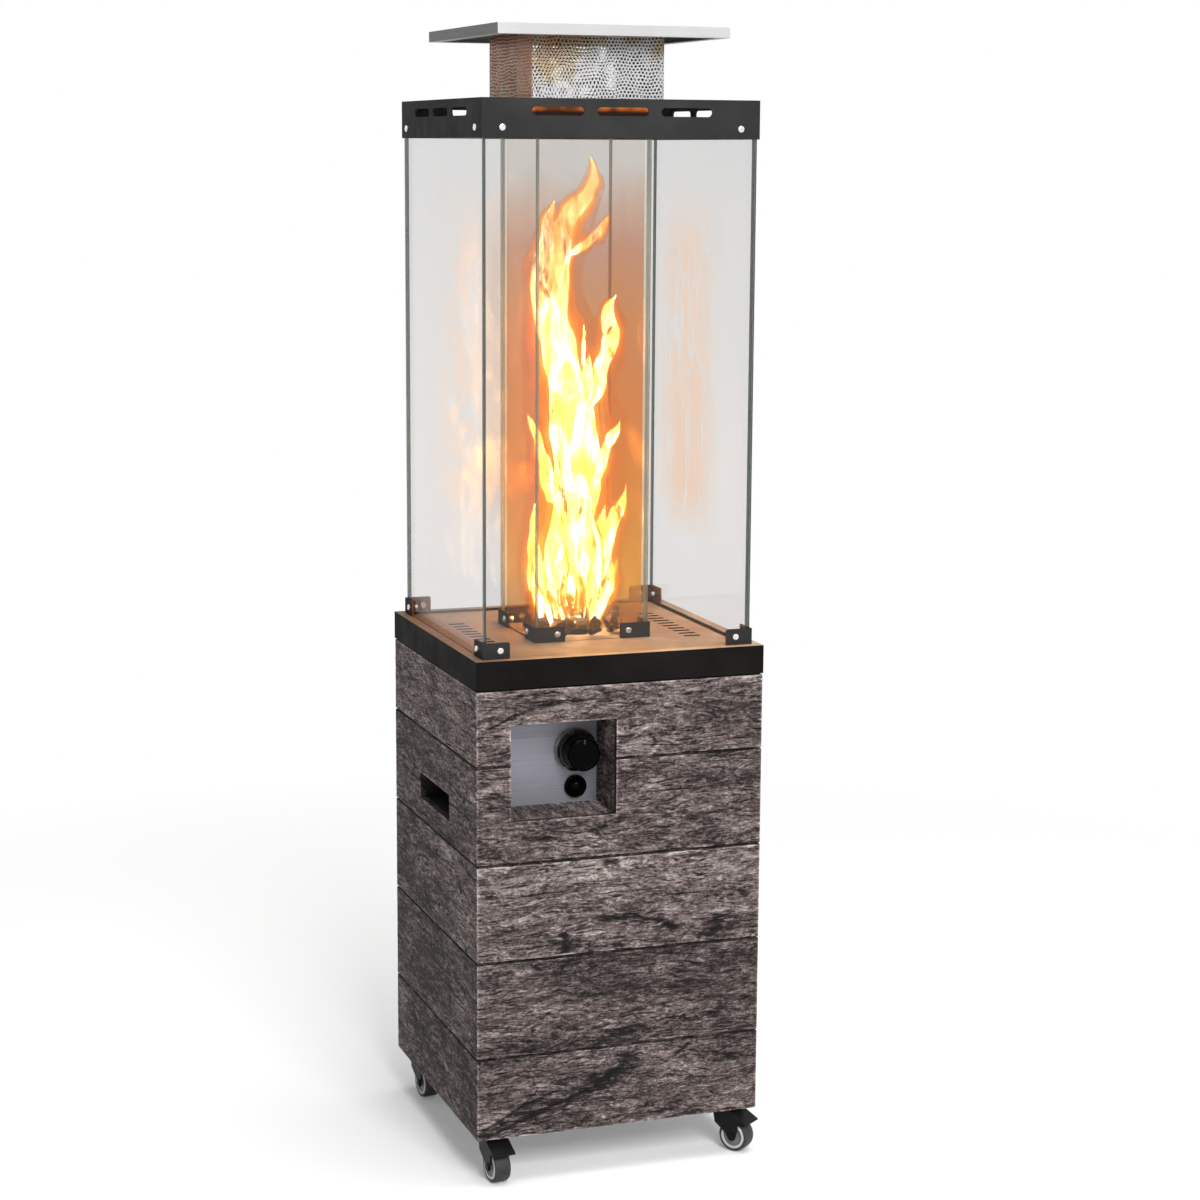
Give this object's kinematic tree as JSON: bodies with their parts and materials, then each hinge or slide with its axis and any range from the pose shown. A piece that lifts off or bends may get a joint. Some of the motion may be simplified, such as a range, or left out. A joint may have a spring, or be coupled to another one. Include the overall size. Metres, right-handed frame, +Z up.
{
  "type": "patio heater",
  "caption": "Free-standing gas patio heater with a square double-glazed flame tower on a wood-clad rolling cabinet.",
  "frame": {"origin": "centre of the cabinet footprint at floor level, where the caster wheels touch the floor", "axes": "+Z up, -Y towards the front with the control recess, +X to the right of a person who faces the front"},
  "size_m": [0.4269, 0.4448, 1.591],
  "materials": {
    "wood_cladding": "weathered grey-brown boards, matt",
    "liner_wood": "grey-brown, matt",
    "black_metal": "black powder coat, satin",
    "dark_bracket": "dark heat-tinted coat, satin",
    "deck_bronze": "bronze coat, satin",
    "brushed_sheet": "brushed",
    "plated_sheet": "zinc plated, satin",
    "screw_steel": "bright",
    "outer_glass": "clear",
    "inner_glass": "clear",
    "knob_black": "gloss black",
    "knob_chrome": "polished",
    "dark_plastic": "matt black",
    "valve_brass": "plain",
    "pipe_aluminium": "plain",
    "burner_iron": "as cast",
    "lava_stone": "rough dark stone",
    "caster_black": "black, satin",
    "caster_wheel": "black tyre on a light grey hub"
  },
  "bodies": {
    "cabinet": {"base_tray": "plated_sheet", "burner_box": "plated_sheet", "burner_head": "burner_iron", "caster_plates": "plated_sheet", "chimney_screen": "brushed_sheet", "cladding_back": "wood_cladding", "cladding_front": "wood_cladding", "cladding_left": "wood_cladding", "cladding_right": "wood_cladding", "control_panel": "brushed_sheet", "corner_posts": "plated_sheet", "deck_frame": "black_metal", "deck_plate": "deck_bronze", "door_magnet": "dark_plastic", "gas_pipe": "pipe_aluminium", "gas_valve": "valve_brass", "glass_screws": "screw_steel", "hand_cups": "plated_sheet", "hinge_fixed_leaves": "plated_sheet", "igniter_barrel": "knob_black", "inner_brackets": "dark_bracket", "inner_collar": "plated_sheet", "inner_glass_back": "inner_glass", "inner_glass_front": "inner_glass", "inner_glass_left": "inner_glass", "inner_glass_right": "inner_glass", "lava_rocks": "lava_stone", "outer_brackets": "black_metal", "outer_glass_back": "outer_glass", "outer_glass_front": "outer_glass", "outer_glass_left": "outer_glass", "outer_glass_right": "outer_glass", "pilot_burner": "plated_sheet", "recess_liner": "liner_wood", "sheet_screws": "screw_steel", "tilt_switch": "dark_plastic", "top_plate": "brushed_sheet", "upper_band": "black_metal", "upper_deck": "dark_bracket"},
    "rear_door": {"rear_door": "wood_cladding", "hinge_door_leaves": "plated_sheet", "door_strike": "plated_sheet", "door_pull": "dark_plastic"},
    "spindle_push": {"spindle_collar": "plated_sheet"},
    "knob": {"control_knob": "knob_black", "knob_ring": "knob_chrome", "valve_spindle": "plated_sheet"},
    "igniter_button": {"igniter_button": "knob_black"},
    "swivel_front_left": {"fork_front_left": "caster_black"},
    "wheel_front_left": {"wheel_front_left": "caster_wheel"},
    "brake_pedal_front_left": {"brake_pedal_front_left": "caster_black"},
    "swivel_front_right": {"fork_front_right": "caster_black"},
    "wheel_front_right": {"wheel_front_right": "caster_wheel"},
    "brake_pedal_front_right": {"brake_pedal_front_right": "caster_black"},
    "swivel_back_left": {"fork_back_left": "caster_black"},
    "wheel_back_left": {"wheel_back_left": "caster_wheel"},
    "brake_pedal_back_left": {"brake_pedal_back_left": "caster_black"},
    "swivel_back_right": {"fork_back_right": "caster_black"},
    "wheel_back_right": {"wheel_back_right": "caster_wheel"},
    "brake_pedal_back_right": {"brake_pedal_back_right": "caster_black"}
  },
  "joints": [
    {"name": "door_hinge", "type": "hinge", "parent": "cabinet", "child": "rear_door", "pos_m": [-0.16075, 0.2128, 0.392], "axis": [0, 0, 1], "range_deg": [0, 120]},
    {"name": "knob_push", "type": "slide", "parent": "cabinet", "child": "spindle_push", "axis": [0, 1, 0], "range_m": [0, 0.004], "stiffness_N_per_m": 1500, "springref_m": -0.001},
    {"name": "knob_turn", "type": "hinge", "parent": "spindle_push", "child": "knob", "pos_m": [-0.04, -0.125, 0.596], "axis": [0, -1, 0], "range_deg": [0, 200]},
    {"name": "igniter_push", "type": "slide", "parent": "cabinet", "child": "igniter_button", "axis": [0, 1, 0], "range_m": [0, 0.004], "stiffness_N_per_m": 2500, "springref_m": -0.001},
    {"name": "swivel_front_left", "type": "hinge", "parent": "cabinet", "child": "swivel_front_left", "pos_m": [-0.178, -0.178, 0.062], "axis": [0, 0, 1], "continuous": true},
    {"name": "spin_front_left", "type": "hinge", "parent": "swivel_front_left", "child": "wheel_front_left", "pos_m": [-0.17605, -0.19388, 0.023], "axis": [0.9925, 0.1219, 0], "continuous": true},
    {"name": "brake_front_left", "type": "hinge", "parent": "swivel_front_left", "child": "brake_pedal_front_left", "pos_m": [-0.17568, -0.19686, 0.0525], "axis": [0.9925, 0.1219, 0], "range_deg": [0, 8]},
    {"name": "swivel_front_right", "type": "hinge", "parent": "cabinet", "child": "swivel_front_right", "pos_m": [0.178, -0.178, 0.062], "axis": [0, 0, 1], "continuous": true},
    {"name": "spin_front_right", "type": "hinge", "parent": "swivel_front_right", "child": "wheel_front_right", "pos_m": [0.18763, -0.19078, 0.023], "axis": [0.7986, 0.6018, 0], "continuous": true},
    {"name": "brake_front_right", "type": "hinge", "parent": "swivel_front_right", "child": "brake_pedal_front_right", "pos_m": [0.18943, -0.19317, 0.0525], "axis": [0.7986, 0.6018, 0], "range_deg": [0, 8]},
    {"name": "swivel_back_left", "type": "hinge", "parent": "cabinet", "child": "swivel_back_left", "pos_m": [-0.178, 0.178, 0.062], "axis": [0, 0, 1], "continuous": true},
    {"name": "spin_back_left", "type": "hinge", "parent": "swivel_back_left", "child": "wheel_back_left", "pos_m": [-0.17605, 0.16212, 0.023], "axis": [0.9925, 0.1219, 0], "continuous": true},
    {"name": "brake_back_left", "type": "hinge", "parent": "swivel_back_left", "child": "brake_pedal_back_left", "pos_m": [-0.17568, 0.15914, 0.0525], "axis": [0.9925, 0.1219, 0], "range_deg": [0, 8]},
    {"name": "swivel_back_right", "type": "hinge", "parent": "cabinet", "child": "swivel_back_right", "pos_m": [0.178, 0.178, 0.062], "axis": [0, 0, 1], "continuous": true},
    {"name": "spin_back_right", "type": "hinge", "parent": "swivel_back_right", "child": "wheel_back_right", "pos_m": [0.17605, 0.19388, 0.023], "axis": [-0.9925, -0.1219, 0], "continuous": true},
    {"name": "brake_back_right", "type": "hinge", "parent": "swivel_back_right", "child": "brake_pedal_back_right", "pos_m": [0.17568, 0.19686, 0.0525], "axis": [-0.9925, -0.1219, 0], "range_deg": [0, 8]}
  ]
}
